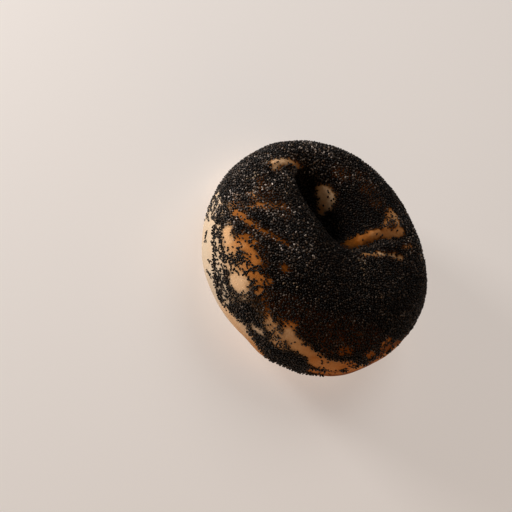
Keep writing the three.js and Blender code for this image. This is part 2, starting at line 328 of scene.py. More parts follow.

# %% [markdown]
# ## Where the coat is broken
# The coat of seeds is thick on the crown and stops in a ragged line above the pale lower side. Where it
# was knocked off or never stuck, the crust shows in patches and streaks. Painting a weight map by hand
# would do; a list of named places can be read and changed. Each place is a path in millimetres about
# the ring's centre, with a half width, the share of seeds missing from it and how far its crust has
# browned, from 0, pale dough, to 1, dark. At the start of the seam ridge, the foot of the spot in the
# hole and the low rim, that shade is also painted shade, darker where little light reaches.

# %% Bare places
BARE_PLACES = {
    "upper peach spot": (2.7, 1, 0.28,
        [(-29.8, -42.9, 31.3), (-27.5, -44.6, 31.0), (-25.1, -45.6, 32.0)]),
    "peach neck": (1.5, 0.8, 0.34, [(-23.5, -46.2, 32.5), (-22.0, -45.5, 34.8)]),
    "orange patch": (2.1, 0.95, 0.42, [(-23.2, -44.7, 35.1), (-21.4, -43.9, 37.2), (-19.1, -43.4, 38.6)]),
    "orange patch right": (2.0, 0.9, 0.52,
        [(-17.9, -43.8, 38.7), (-14.8, -43.9, 39.5), (-11.9, -44.4, 39.7)]),
    "above the orange patch": (1.6, 0.5, 0.62,
        [(-24.5, -42.7, 36.6), (-23.1, -40.8, 39.0), (-19.8, -40.7, 40.3)]),
    "edge of the orange patch": (2.0, 0.12, 0.7,
        [(-16.9, -40.4, 41.3), (-13.4, -41.1, 41.6), (-9.4, -43.2, 41.0)]),
    "orange patch end": (2.0, 0.5, 0.58, [(-7.9, -46.9, 38.2), (-5.6, -46.3, 39.0), (-3.0, -45.1, 40.0)]),
    "lower peach spot": (3.9, 1, 0.2, [(-10.2, -51.8, 30.1), (-8.0, -51.5, 31.5)]),
    "brown dot": (1.3, 0.55, 0.7, [(-4.4, -37.7, 43.8), (-3.0, -36.5, 44.2)]),
    "brown streak top": (1.7, 0.2, 0.5, [(-2.0, -49.0, 36.2), (-0.7, -47.7, 37.6), (1.6, -46.8, 38.4)]),
    "brown streak": (0.8, 0.75, 0.78, [(3.1, -48.2, 36.7), (6.1, -48.7, 35.2), (9.5, -49.7, 32.4)]),
    "side speck": (1.7, 1, 0.1, [(10.5, -51.7, 23.0), (12.7, -51.2, 23.6)]),
    "side dashes": (0.4, 1, 0.1, [(7.8, -52.4, 20.9), (10.9, -51.6, 16.9)]),
    "side dash": (0.4, 1, 0.1, [(12.5, -50.8, 26.8), (14.5, -50.7, 24.1)]),
    "gaps by the pale side": (2.0, 0.2, 0.12,
        [(-5.2, -53.6, 22.7), (-3.5, -53.0, 27.6), (-2.1, -51.6, 31.8)]),
    "specks by the low patch": (3.4, 0.25, 0.3,
        [(11.7, -49.1, 32.4), (16.5, -49.0, 30.1), (21.3, -48.2, 28.1)]),
    "scrape by the low patch": (0.6, 0.7, 0.3,
        [(18.9, -49.4, 26.2), (21.4, -48.4, 27.1), (24.4, -47.1, 26.5)]),
    "top of the low patch": (2.2, 0.6, 0.5, [(16.0, -45.6, 36.2), (17.8, -43.8, 37.5)]),
    "low patch": (2.9, 0.96, 0.26, [(19.6, -45.7, 34.6), (22.1, -45.4, 33.3), (25.0, -44.1, 32.3)]),
    "low patch middle": (2.6, 0.96, 0.32, [(26.5, -43.8, 31.0), (29.0, -41.8, 30.9)]),
    "low patch lower middle": (2.6, 0.96, 0.39, [(30.0, -41.0, 30.8), (33.3, -38.6, 30.2)]),
    "low patch end": (4.0, 0.96, 0.46, [(36.3, -37.1, 27.9), (39.7, -33.9, 27.3), (43.3, -29.8, 26.7)]),
    "low patch foot": (2.4, 0.9, 0.54, [(39.1, -35.8, 19.0), (42.8, -31.6, 18.9), (46.4, -26.2, 21.5)]),
    "beside the low patch": (3.6, 0.5, 0.5, [(44.4, -27.2, 28.5), (46.0, -24.4, 28.5)]),
    "spot above the low patch": (1.9, 0.4, 0.64, [(37.9, -28.2, 36.0), (39.7, -25.8, 35.9)]),
    "spot by the low rim": (1.8, 0.4, 0.62, [(45.9, -17.0, 34.2), (47.2, -14.7, 33.4)]),
    # The low rim is browner and also painted darker: painted shade on the low side, where little light
    # reaches.
    "low rim": (1.6, 0.9, 0.72, [(49.5, -19.5, 20.1), (50.6, -16.0, 20.1), (51.1, -13.7, 22.6)]),
    "low rim middle": (2.0, 0.8, 0.72,
        [(51.1, -13.7, 22.6), (50.0, -12.8, 29.0), (49.7, -8.6, 31.4), (49.2, -4.9, 32.9)]),
    "low rim gold": (2.2, 0.9, 0.68, [(49.2, -4.9, 32.9), (50.0, 0.7, 31.5)]),
    "low rim end": (1.8, 0.6, 0.72, [(49.3, 1.6, 32.6), (50.0, 7.7, 29.9), (49.5, 12.6, 28.8)]),
    "low rim tip": (1.4, 0.7, 0.6, [(48.5, 15.1, 29.4), (46.9, 18.9, 30.0), (44.9, 21.5, 31.2)]),
    "low rim above": (2.2, 0.45, 0.5, [(46.5, -8.6, 35.8), (46.2, -5.6, 36.4)]),
    "crown streak": (1.4, 0.5, 0.62, [(-34.5, -36.3, 34.8), (-28.9, -36.6, 38.5), (-22.5, -35.6, 41.5)]),
    "crown streak end": (1.2, 0.5, 0.68,
        [(-22.5, -35.6, 41.5), (-16.8, -33.0, 43.4), (-11.4, -29.5, 44.3)]),
    "white spot": (0.7, 1, 0.03, [(-47.1, -26.6, 15.5), (-45.9, -28.7, 18.6)]),
    "line by the lip": (0.5, 0.9, 0.12,
        [(-43.0, -32.2, 23.7), (-40.2, -34.9, 27.1), (-37.0, -38.0, 28.2)]),
    "thin coat": (1.5, 0.26, 0.3, [(-37.0, -28.0, 39.3), (-35.0, -27.4, 40.5)]),
    "thin coat below": (1.4, 0.28, 0.46,
        [(-33.3, -32.0, 39.5), (-30.8, -28.4, 41.8), (-28.9, -24.6, 42.7), (-25.6, -19.9, 43.1)]),
    "thin coat by the streak": (2.4, 0.15, 0.6, [(-38.9, -34.1, 32.2), (-35.1, -35.7, 34.9)]),
    "thin coat above": (3.4, 0.1, 0.72,
        [(-38.9, -21.4, 40.4), (-32.3, -21.9, 42.2), (-22.9, -21.4, 43.6)]),
    "start of the arc": (1.0, 0.6, 0.16,
        [(-45.3, -10.1, 39.3), (-45.1, -7.2, 39.2), (-44.9, -4.7, 38.8)]),
    "arc by the end": (1.3, 1, 0.13,
        [(-42.9, -11.3, 40.1), (-43.2, -8.0, 40.0), (-43.3, -3.5, 39.1), (-42.3, 0.7, 37.4)]),
    "end of the arc": (1.3, 0.96, 0.36, [(-42.3, 0.7, 37.4), (-40.4, 3.9, 35.3), (-38.6, 6.9, 32.8)]),
    "hole wall spot": (3.7, 0.95, 0.12, [(-23.3, 13.4, 30.1), (-20.4, 13.7, 30.3), (-19.2, 12.4, 28.1)]),
    # The foot of the spot on the wall of the hole is painted darker: painted shadow low in the hole.
    "hole wall foot": (1.8, 0.92, 0.3, [(-19.0, 11.6, 26.0), (-17.2, 11.1, 24.2)]),
    # The seam ridge is painted darker towards its start: painted shade where the wall of the hole keeps the
    # light off.
    "seam ridge start": (2.5, 0.85, 1, [(1.3, 3.9, 33.2), (2.1, 7.1, 34.1)]),
    "seam ridge near": (2.6, 0.93, 0.76, [(2.1, 8.0, 34.5), (2.8, 9.9, 35.7)]),
    "seam ridge middle": (2.6, 0.97, 0.55, [(3.4, 12.0, 36.9), (4.1, 15.1, 38.3)]),
    "seam ridge": (2.5, 0.97, 0.42, [(4.4, 17.4, 39.1), (5.4, 20.3, 39.6), (7.8, 25.4, 39.7)]),
    "seam ridge far end": (2.2, 0.97, 0.38, [(7.8, 25.4, 39.7), (9.4, 31.9, 39.6)]),
    "seam ridge patches": (1.7, 0.5, 0.42, [(3.8, 24.7, 40.7), (1.4, 29.6, 39.4), (-0.3, 33.5, 39.0)]),
    "seam ridge patches right": (1.8, 0.5, 0.3, [(1.8, 34.5, 38.9), (5.5, 31.6, 40.3)]),
    "seam lip start": (0.9, 0.86, 0.22, [(9.3, 4.1, 41.3), (10.8, 9.4, 40.8), (12.9, 13.3, 40.6)]),
    "seam lip": (0.9, 0.88, 0.12,
        [(12.9, 13.3, 40.6), (14.9, 16.7, 40.1), (17.0, 20.7, 39.7), (19.7, 23.0, 40.1)]),
    "side line": (1.1, 0.7, 0.34, [(15.9, 28.2, 40.4), (17.4, 31.4, 39.5)]),
    "front thin coat": (6.0, 0.08, 0.8,
        [(8.8, -44.6, 39.1), (15.6, -40.6, 40.5), (25.5, -34.2, 39.8), (32.5, -23.4, 40.8)]),
    "low thin coat": (5.0, 0.08, 0.8, [(33.0, -32.9, 36.5), (37.4, -24.8, 38.1), (40.2, -14.1, 39.6)]),
    "far thin coat": (4.0, 0.1, 0.6, [(-20.0, 30.5, 38.1), (-13.6, 30.2, 38.3), (-6.3, 29.6, 38.8)]),
    "far rim thin coat": (3.0, 0.16, 0.6, [(-27.9, 20.7, 37.2), (-24.5, 23.1, 37.5)]),
    "pale side thin coat": (3.0, 0.06, 0.4, [(1.2, -50.3, 34.0), (4.9, -50.2, 33.2), (8.3, -50.2, 32.0)]),
    "far side patch": (3.2, 0.97, 0.4, [(18.0, 47.0, 30.0), (24.0, 43.0, 33.0)]),
    "back patch": (3.6, 0.97, 0.32, [(-36.0, 37.0, 27.0), (-30.0, 42.0, 29.0)]),
    "back streak": (1.1, 0.9, 0.5, [(-14.0, 44.0, 36.0), (-4.0, 45.0, 36.0), (6.0, 46.0, 34.0)]),
}

# %% [markdown]
# ## Where the coat thins out
# Beside the pale side the seeds hang together in short, crooked chains, with bare crust between them,
# because a wet seed sticks to its neighbour more readily than to the crust. These places get a list of
# their own. Lower down the coat ends altogether, in a line that rises and falls round the ring. A little
# noise is added to every point before it is compared with a path or with the line, which frays the edges.
# The noise has the seed set at the start, so that every run frays them alike.

# %% Chains and the lower line
# Half width, chains a square millimetre, how much they follow the path, share of other seeds missing.
CHAIN_PLACES = {
    "above the pale lip": (7.5, 0.03, 0.15, 0.52,
        [(-45.0, -29.6, 13.2), (-41.0, -35.0, 17.2), (-38.5, -37.8, 16.7)]),
    "along the pale side": (2.8, 0.04, 0.35, 0.47,
        [(-32.5, -42.8, 25.0), (-25.5, -47.6, 25.0), (-18.6, -51.0, 22.7)]),
    "below the pale side": (3.1, 0.04, 0.35, 0.4,
        [(-18.2, -51.0, 23.9), (-13.1, -52.6, 23.0), (-8.9, -53.3, 20.5), (-4.7, -53.6, 18.0)]),
    "loose on the pale band": (2.6, 0.035, 0.8, 0,
        [(-36.4, -39.6, 14.6), (-29.9, -45.1, 15.9), (-23.8, -48.7, 16.7), (-17.2, -51.4, 17.0)]),
    "between the spots": (4.7, 0.06, 0.15, 0.38,
        [(-19.7, -49.0, 30.4), (-16.4, -48.8, 33.4), (-13.1, -48.3, 35.5)]),
    "under the orange patch": (3.4, 0.04, 0.3, 0.3,
        [(-11.2, -47.2, 37.4), (-6.9, -47.6, 37.7), (-2.9, -49.1, 36.1)]),
    "back of the low side": (4.0, 0.03, 0.5, 0.5,
        [(20.0, 48.0, 17.0), (34.0, 40.0, 16.0), (44.0, 28.0, 17.0)]),
    "back of the thin end": (3.5, 0.03, 0.5, 0.5,
        [(-50.0, 16.0, 17.0), (-44.0, 28.0, 19.0), (-36.0, 38.0, 21.0)]),
}
# The height below which no seeds stick, by bearing in degrees.
SEED_LINE = [
    (-180, 12), (-160, 11), (-147, 10), (-139, 10), (-136, 14), (-134, 21), (-131, 22), (-128, 20.5),
    (-124, 21.2), (-119, 21.2), (-115, 20), (-111, 18.6), (-106, 17), (-102, 16), (-98, 14.4),
    (-93, 15.4), (-87, 18.2), (-82, 19.4), (-78, 17), (-73, 16.3), (-69, 15), (-64, 12), (-58, 11),
    (-45, 11), (-36, 14), (-29, 21), (-25, 26), (-20, 28), (-12, 29), (0, 29), (10, 29), (24, 26),
    (36, 20), (60, 15), (95, 11), (130, 10), (160, 14), (180, 12),
]
SEED_LINE_SOFT = 2.4
LOWEST_IN_HOLE = 8.0
IN_HOLE = 0.5  # a point with more than this share of the hole counts as inside it
EDGE_SOFT = 1.6
EDGE_WANDER = [(3.6, 0.9), (1.5, 0.9)]  # size and reach of the noise that frays the edges


def near_path_in_space(points, path):
    """Distance of each point to a path, in mm."""
    best = np.full(len(points), np.inf)
    for a, b in zip(path, path[1:]):
        a, b = np.array(a, float), np.array(b, float)
        t = np.clip((points - a) @ (b - a) / ((b - a) @ (b - a)), 0, 1)
        best = np.minimum(best, np.linalg.norm(points - a - t[:, None] * (b - a), axis=1))
    return best


def within(points, path, half, soft):
    """1 well inside a path's half width and 0 well outside it, with an edge that is soft mm wide."""
    return smooth((half - near_path_in_space(points, path)) / soft + 0.5)


def wander(points):
    """The points moved a little by noise."""
    moved = points.copy()
    for size, reach_out in EDGE_WANDER:
        moved += reach_out * np.array([noise.noise_vector(Vector(p)) for p in (points / size).tolist()])
    return moved


def above_seed_line(points, hole_share):
    """1 above the line where the coat ends, 0 below it."""
    bearing = np.degrees(np.arctan2(points[:, 1], points[:, 0]))
    line = np.where(hole_share > IN_HOLE, LOWEST_IN_HOLE, np.interp(bearing, *zip(*SEED_LINE)))
    return smooth((points[:, 2] - line) / SEED_LINE_SOFT + 0.5)


def left_by_bare_places(points):
    """The share of seeds that the bare places leave."""
    share = np.ones(len(points))
    for half, missing, _, path in BARE_PLACES.values():
        share *= 1 - missing * within(points, path, half, EDGE_SOFT)
    return share


def left_by_chain_places(points):
    """The share of single seeds that the chain places leave."""
    share = np.ones(len(points))
    for half, _, _, missing, path in CHAIN_PLACES.values():
        share *= 1 - missing * within(points, path, half, EDGE_SOFT)
    return share


# %% [markdown]
# ## How far the crust has browned, and the painted shade under the coat
# Heat comes from above, so the browning follows the way the surface faces. Each bare place has its own
# shade, and so have some stretches of the bare lower side. Under the coat the crust is painted darkest:
# painted shade, because hardly any light gets between the seeds, and a stain from what they shed. Both
# the browning and this painted shade with the stain are worked out for every point of the mesh and kept
# there as attributes, which the shader reads.

# %% Browning
# How far the crust has browned by how far it faces up: 1 is level, 0 upright.
BROWNING_BY_SLOPE = [
    (-0.3, 0.0), (0.05, 0.04), (0.3, 0.2), (0.5, 0.36), (0.7, 0.56), (0.85, 0.66), (1.0, 0.7),
]
# Where the bare side is painted darker than its slope makes it: half width, shade, path in mm. The low end
# and the foot of the pale side carry a painted shadow where the ring meets the floor; round and below the
# low rim the side is browner and also painted darker, as painted shade.
SHADED_PLACES = {
    "low end of the pale side": (4.0, 0.22, [(-1.1, -53.1, 13.7), (5.8, -52.2, 13.4)]),
    "foot of the pale side": (5.0, 0.34, [(12.1, -49.0, 8.6), (18.6, -48.9, 12.0), (24.1, -47.4, 14.1)]),
    "round the low rim": (9.0, 0.42,
        [(24, -47, 15), (33, -40, 16), (45, -26, 18), (51, -10, 20), (52, 6, 20), (47, 24, 20),
         (38, 36, 21)]),
    "below the low rim": (6.0, 0.72,
        [(36, -37, 15), (45, -26, 17), (51, -10, 19), (52, 6, 20), (48, 20, 21)]),
}
SHADED_SOFT = 12.0
COAT_SHADE_STARTS = 1.6  # mm above the line where the coat ends
PLACE_SHADE_REACH = 1.7  # mm beyond the edge of a bare place
WHOLE_SHADE_FROM = 3  # a place with a third of its seeds missing has its whole shade
SHADE_AND_STAIN_POWER = 3  # how much faster the painted shade and stain under the coat go than the seeds do where the coat thins out
HOLE_SIDE_STARTS, HOLE_SIDE_SOFT = 0.55, 0.35  # where the wall of the hole is, by cosine round the roll

flat_form = form.reshape(-1, 3)
facing_up = form_normal[..., 2].ravel()
in_hole = smooth((-np.cos(roll) - HOLE_SIDE_STARTS) / HOLE_SIDE_SOFT)
browned = np.interp(facing_up, *zip(*BROWNING_BY_SLOPE))
for half, shade, path in SHADED_PLACES.values():
    browned += (shade - browned) * within(flat_form, path, half, SHADED_SOFT)
# The crust under the coat gets painted shade, for the little light between the seeds, and a stain from what
# they shed.
shade_and_stain_under_coat = above_seed_line(flat_form - (0, 0, COAT_SHADE_STARTS), in_hole.ravel())
shade_and_stain_under_coat *= left_by_chain_places(flat_form) ** SHADE_AND_STAIN_POWER
frayed_form = wander(flat_form)
for half, missing, shade, path in BARE_PLACES.values():
    distance = near_path_in_space(frayed_form, path)
    weight = smooth((half + PLACE_SHADE_REACH - distance) / (2 * PLACE_SHADE_REACH))
    weight *= min(1.0, missing * WHOLE_SHADE_FROM)
    browned += (shade - browned) * weight
    shade_and_stain_under_coat *= 1 - weight
print("browned, least and most:", np.round((browned.min(), browned.max()), 2))

# %% [markdown]
# ## From arrays to a mesh
# The crust has sixty thousand points, and the seeds have six times as many. Adding them one by one
# through bmesh would take minutes. Blender's foreach_set takes a whole array at once, so one helper makes
# every piece of the bagel, gives it its attributes and says which solid it stands for.


# %% Build a mesh from arrays
def new_piece(name, points, faces, attributes=()):
    """A smooth-shaded mesh object from arrays in metres; attributes are (name, value per point)."""
    mesh = bpy.data.meshes.new(name)
    sides = faces.shape[1]
    mesh.vertices.add(len(points))
    mesh.vertices.foreach_set("co", np.ascontiguousarray(points, np.float32).ravel())
    mesh.loops.add(faces.size)
    mesh.loops.foreach_set("vertex_index", np.ascontiguousarray(faces, np.int32).ravel())
    mesh.polygons.add(len(faces))
    mesh.polygons.foreach_set("loop_start", np.arange(0, faces.size, sides, dtype=np.int32))
    mesh.polygons.foreach_set("use_smooth", np.ones(len(faces), bool))
    mesh.update(calc_edges=True)
    for label, values in attributes:
        layer = mesh.attributes.new(label, "FLOAT", "POINT")
        layer.data.foreach_set("value", np.ascontiguousarray(values, np.float32).ravel())
    piece = bpy.data.objects.new(name, mesh)
    bpy.context.scene.collection.objects.link(piece)
    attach(piece, "root")
    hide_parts("bagel")
    print(name, len(points), "points,", len(faces) * (sides - 2), "triangles")
    return piece


ring, section = np.meshgrid(np.arange(COLUMNS), np.arange(ROWS), indexing="ij")
next_ring, next_section = (ring + 1) % COLUMNS, (section + 1) % ROWS
corner_indices = [(ring, section), (next_ring, section), (next_ring, next_section), (ring, next_section)]
quads = np.stack([r * ROWS + s for r, s in corner_indices], -1).reshape(-1, 4)
bagel_crust = new_piece(
    "bagel_crust",
    to_frame(skin.reshape(-1, 3)),
    quads,
    [("browned", browned), ("shade_and_stain_under_coat", shade_and_stain_under_coat)],
)

# %% [markdown]
# ## The finish of the crust
# Baked crust goes from cream through gold to brown, in blotches rather than bands, and it is nearly
# matt, pitted with fine pores. The mesh carries how far each place has browned; the shader breaks that
# up with two sizes of noise and looks the colour up in a ramp. The blotches are a node group, because
# the seeds use them too, at a smaller size. The pores are a bump, too fine to be worth a mesh.


# %% Shader helpers
def new_group(name, inputs, outputs):
    """A shader node group with named sockets, each a (name, kind)."""
    group = bpy.data.node_groups.new(name, "ShaderNodeTree")
    for side, sockets in (("INPUT", inputs), ("OUTPUT", outputs)):
        for label, kind in sockets:
            group.interface.new_socket(label, in_out=side, socket_type=kind)
    return group, group.nodes.new("NodeGroupInput"), group.nodes.new("NodeGroupOutput")


def add_node(tree, kind, **settings):
    """A node with its properties set."""
    node = tree.nodes.new(kind)
    for key, value in settings.items():
        setattr(node, key, value)
    return node


def feed(tree, node, **sockets):
    """Sets a node's sockets to values or links them: by name or, with a leading s, by number."""
    for key, value in sockets.items():
        number = key[1:].isdigit() and key[0] == "s"
        socket = node.inputs[int(key[1:])] if number else node.inputs[key.replace("_", " ")]
        if isinstance(value, bpy.types.NodeSocket):
            tree.links.new(value, socket)
        else:
            socket.default_value = value
    return node


def math_node(tree, operation, first, second, clamp=False):
    """The output of a node that works out one sum, difference or product."""
    node = add_node(tree, "ShaderNodeMath", operation=operation, use_clamp=clamp)
    feed(tree, node, s0=first, s1=second)
    return node.outputs[0]


# %% Blotches, shared by the crust and the seeds
blotch_group, blotch_in, blotch_out = new_group(
    "blotches",
    [
        ("Large Size", "NodeSocketFloat"),
        ("Small Size", "NodeSocketFloat"),
        ("Share", "NodeSocketFloat"),
    ],
    [("Value", "NodeSocketFloat")],
)
place = add_node(blotch_group, "ShaderNodeTexCoord").outputs["Object"]
coarse = feed(
    blotch_group,
    add_node(blotch_group, "ShaderNodeTexNoise"),
    Vector=place,
    Scale=blotch_in.outputs["Large Size"],
    Detail=3.0,
    Roughness=0.55,
)
fine = feed(
    blotch_group,
    add_node(blotch_group, "ShaderNodeTexNoise"),
    Vector=place,
    Scale=blotch_in.outputs["Small Size"],
    Detail=4.0,
    Roughness=0.6,
)
mixed = feed(
    blotch_group,
    add_node(blotch_group, "ShaderNodeMix", data_type="FLOAT"),
    s0=blotch_in.outputs["Share"],
    s2=coarse.outputs[0],
    s3=fine.outputs[0],
)
blotch_group.links.new(mixed.outputs[0], blotch_out.inputs["Value"])

# %% Crust material
CRUST_COLOURS = [
    (0.00, (208, 186, 160)),
    (0.18, (228, 186, 144)),
    (0.32, (210, 156, 104)),
    (0.50, (184, 114, 54)),
    (0.66, (142, 78, 20)),
    (0.80, (98, 55, 15)),
    (1.00, (46, 26, 16)),
]
# Painted shade between the seeds, with the stain they leave: the darkest crust, under the coat.
SHADE_AND_STAIN_UNDER_COAT = (22, 14, 11)
BLOTCH_LARGE, BLOTCH_SMALL = 110.0, 1000.0
BLOTCH_MIDDLE, BLOTCH_STRENGTH = 0.5, 0.34
CRUST_ROUGHNESS = 0.7
CRUST_SPECULAR = 0.04
PORE_SCALE = 900.0  # about a pore a millimetre
PORE_STRENGTH, PORE_DEPTH = 0.5, 0.0004  # depth in metres

crust_paint, crust_shader = node_material("bagel_crust")
tree = crust_paint.node_tree
baked = add_node(tree, "ShaderNodeAttribute", attribute_name="browned").outputs["Fac"]
blotches = add_node(tree, "ShaderNodeGroup", node_tree=blotch_group)
feed(tree, blotches, Large_Size=BLOTCH_LARGE, Small_Size=BLOTCH_SMALL, Share=0.5)
offset = math_node(tree, "SUBTRACT", blotches.outputs[0], BLOTCH_MIDDLE)
uneven = math_node(tree, "MULTIPLY", offset, BLOTCH_STRENGTH)
level = math_node(tree, "ADD", baked, uneven, clamp=True)
ramp = add_node(tree, "ShaderNodeValToRGB")
stops = ramp.color_ramp.elements
while len(stops) < len(CRUST_COLOURS):
    stops.new(0.5)
for stop, (position, colour) in zip(stops, CRUST_COLOURS):
    stop.position = position
    stop.color = linear(*colour)
feed(tree, ramp, Fac=level)
# Mixes in the painted shade and stain under the coat.
shade_and_stain_mix = add_node(tree, "ShaderNodeMix", data_type="RGBA")
shade_and_stain_share = add_node(tree, "ShaderNodeAttribute", attribute_name="shade_and_stain_under_coat").outputs["Fac"]
feed(tree, shade_and_stain_mix, s0=shade_and_stain_share, s6=ramp.outputs["Color"], s7=linear(*SHADE_AND_STAIN_UNDER_COAT))
tree.links.new(shade_and_stain_mix.outputs[2], crust_shader.inputs["Base Color"])
crust_shader.inputs["Roughness"].default_value = CRUST_ROUGHNESS
crust_shader.inputs["Specular IOR Level"].default_value = CRUST_SPECULAR
pores = feed(tree, add_node(tree, "ShaderNodeTexNoise"), Scale=PORE_SCALE, Detail=4.0, Roughness=0.6)
tree.links.new(add_node(tree, "ShaderNodeTexCoord").outputs["Object"], pores.inputs["Vector"])
bump = add_node(tree, "ShaderNodeBump")
feed(tree, bump, Height=pores.outputs[0], Strength=PORE_STRENGTH, Distance=PORE_DEPTH)
tree.links.new(bump.outputs["Normal"], crust_shader.inputs["Normal"])
bagel_crust.data.materials.append(crust_paint)

# %% [markdown]
# ## The shape of one seed
# A poppy seed is a tiny kidney about a millimetre long. At this size a few facets with smooth shading
# are enough: three five-sided rings between two tips, bent a little along its length.

# %% Seed template
SEED_RINGS = [(-0.30, 0.38), (0.0, 0.5), (0.30, 0.36)]  # place along the length, radius, in seed lengths
SEED_SIDES = 5
SEED_FLAT = 0.60
SEED_WIDE = 0.68
SEED_BEND, BEND_CENTRE = 0.35, 0.08  # the second brings the bent seed back over its middle


def seed_shape():
    """Points and triangles of one seed, a unit long, lying along X."""
    points = [(-0.5, 0.0, 0.0)]
    for along, radius in SEED_RINGS:
        for k in range(SEED_SIDES):
            angle = tau * k / SEED_SIDES
            points.append((along, radius * SEED_WIDE * cos(angle), radius * SEED_FLAT * sin(angle)))
    points.append((0.5, 0.0, 0.0))
    last = len(points) - 1
    last_ring = last - SEED_SIDES
    faces = []
    for k in range(SEED_SIDES):
        following = (k + 1) % SEED_SIDES
        faces.append((0, 1 + following, 1 + k))
        for band in range(len(SEED_RINGS) - 1):
            a, b = 1 + band * SEED_SIDES + k, 1 + band * SEED_SIDES + following
            faces += [(a, b, b + SEED_SIDES), (a, b + SEED_SIDES, a + SEED_SIDES)]
        faces.append((last, last_ring + k, last_ring + following))
    points = np.array(points)
    points[:, 1] += SEED_BEND * (points[:, 0] ** 2 - BEND_CENTRE)
    return points, np.array(faces)


seed_points, seed_faces = seed_shape()
print("one seed:", len(seed_faces), "triangles")

# %% [markdown]
# ## Scattering
# Geometry Nodes could scatter the seeds, but here each rule is a line of Python that can be printed and
# tested. Points are drawn evenly over the crust, many more than are needed, and a draw is dropped where
# it would crowd an earlier one: that packs a coat with no gaps. Then the cover, from 0 to 1, says what
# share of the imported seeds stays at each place, and a folded noise says which. Its low values run in
# veins, so what is left of a thin coat is veins of touching seeds, as on the real crust, and not a
# sprinkling of even dots.

# %% Draw places for the seeds
DRAW_SEED = 7
DRAWS = 180000
NO_DRAWS_BELOW = 6.0  # mm
FIRST_SPACING = 0.75
SECOND_SPACING = 0.98
CHAIN_SPACING = 0.62
VEIN_SIZE = 2.5

rng = np.random.default_rng(DRAW_SEED)
quad_points = skin.reshape(-1, 3)[quads]
diagonals = np.cross(quad_points[:, 2] - quad_points[:, 0], quad_points[:, 3] - quad_points[:, 1])
area = np.linalg.norm(diagonals, axis=1) / 2
draws_each_mm2 = DRAWS / area.sum()
print("crust area, mm2:", round(float(area.sum())))


def draw_places(count):
    """Even random places on the crust: point and normal about the ring's own centre, and hole share."""
    chosen = np.searchsorted(np.cumsum(area) / area.sum(), rng.random(count)).clip(0, len(area) - 1)
    u, v = rng.random((2, count, 1))
    weights = np.concatenate([(1 - u) * (1 - v), u * (1 - v), u * v, (1 - u) * v], 1)

    def blend(values):
        flat = values.reshape(COLUMNS * ROWS, -1)[quads[chosen]]
        return (flat * weights[..., None]).sum(1)

    normal = blend(skin_normal)
    return blend(skin), normal / np.linalg.norm(normal, axis=1, keepdims=True), blend(in_hole)[:, 0]


def keep_apart(points, spacing, settled=()):
    """Indices of the points kept when each must lie a spacing clear of those before it and the settled."""
    cells = {}
    for place in settled:
        cells.setdefault(tuple(int(v // spacing) for v in place), []).append(tuple(place))
    kept = []
    keys = np.floor(points / spacing).astype(int).tolist()
    around = [(i, j, k) for i in (-1, 0, 1) for j in (-1, 0, 1) for k in (-1, 0, 1)]
    limit = spacing * spacing
    for index, ((i, j, k), (x, y, z)) in enumerate(zip(keys, points.tolist())):
        others = (other for di, dj, dk in around for other in cells.get((i + di, j + dj, k + dk), ()))
        if all((ox - x) ** 2 + (oy - y) ** 2 + (oz - z) ** 2 >= limit for ox, oy, oz in others):
            cells.setdefault((i, j, k), []).append((x, y, z))
            kept.append(index)
    return np.array(kept, int)


def vein_rank(points):
    """Noise folded at 0, so that its low values run in veins, and then spread evenly over 0 to 1."""
    field = np.abs(lumps_at(points, VEIN_SIZE))
    return np.argsort(np.argsort(field)) / len(field)


points, normals, hole_share = draw_places(DRAWS)
upper_side = points[:, 2] > NO_DRAWS_BELOW
points, normals, hole_share = points[upper_side], normals[upper_side], hole_share[upper_side]
frayed = wander(points)
open_crust = left_by_bare_places(frayed)
above_line = above_seed_line(frayed, hole_share)
cover = above_line * open_crust * left_by_chain_places(frayed)
print("draws on the upper side:", len(points), "draws a square millimetre:", round(draws_each_mm2, 1))

# %% [markdown]
# ## Chains
# On the pale side the coat is so loose that single chains of seeds show on bare crust. A vein of noise
# has no ends, so these chains are grown instead: from a start, each seed lies a step on from the last,
# the heading turns a little at every step, and now and then a seed sticks to the chain's side. A tree of
# all the draws finds the nearest one to each step, which keeps the chain on the crust.

# %% Grow the chains
CHAIN_STEP = 0.98  # mm from seed to seed
CHAIN_LENGTHS = (2, 8)
CHAIN_BEND = 0.55  # radians of turn at each seed
CHAIN_ENDS_BELOW = 0.5  # a chain ends where less than this share of the seeds is left
BESIDE_STEP, BESIDE_SHARE = 0.72, 0.45  # mm to a seed stuck to the side, and how often there is one

tree_of_draws = kdtree.KDTree(len(points))
for index, point in enumerate(points):
    tree_of_draws.insert(point, index)
tree_of_draws.balance()


def along_surface(vector, normal):
    """The part of a vector that lies in the surface, a unit long."""
    vector = vector - normal * (vector @ normal)
    return vector / max(np.linalg.norm(vector), TINY)


def grow_chain(start, heading):
    """Indices and headings of one chain, ended where the crust is bare."""
    chain = []
    index = start
    for _ in range(rng.integers(*CHAIN_LENGTHS)):
        if open_crust[index] < CHAIN_ENDS_BELOW:
            break
        heading = along_surface(heading, normals[index])
        chain.append((index, heading))
        if rng.random() < BESIDE_SHARE:
            aside = np.cross(normals[index], heading) * rng.choice((-1, 1))
            chain.append((tree_of_draws.find(points[index] + aside * BESIDE_STEP)[1], heading))
        bend = rng.normal(0, CHAIN_BEND)
        heading = heading * cos(bend) + np.cross(normals[index], heading) * sin(bend)
        index = tree_of_draws.find(points[index] + heading * CHAIN_STEP)[1]
    return chain


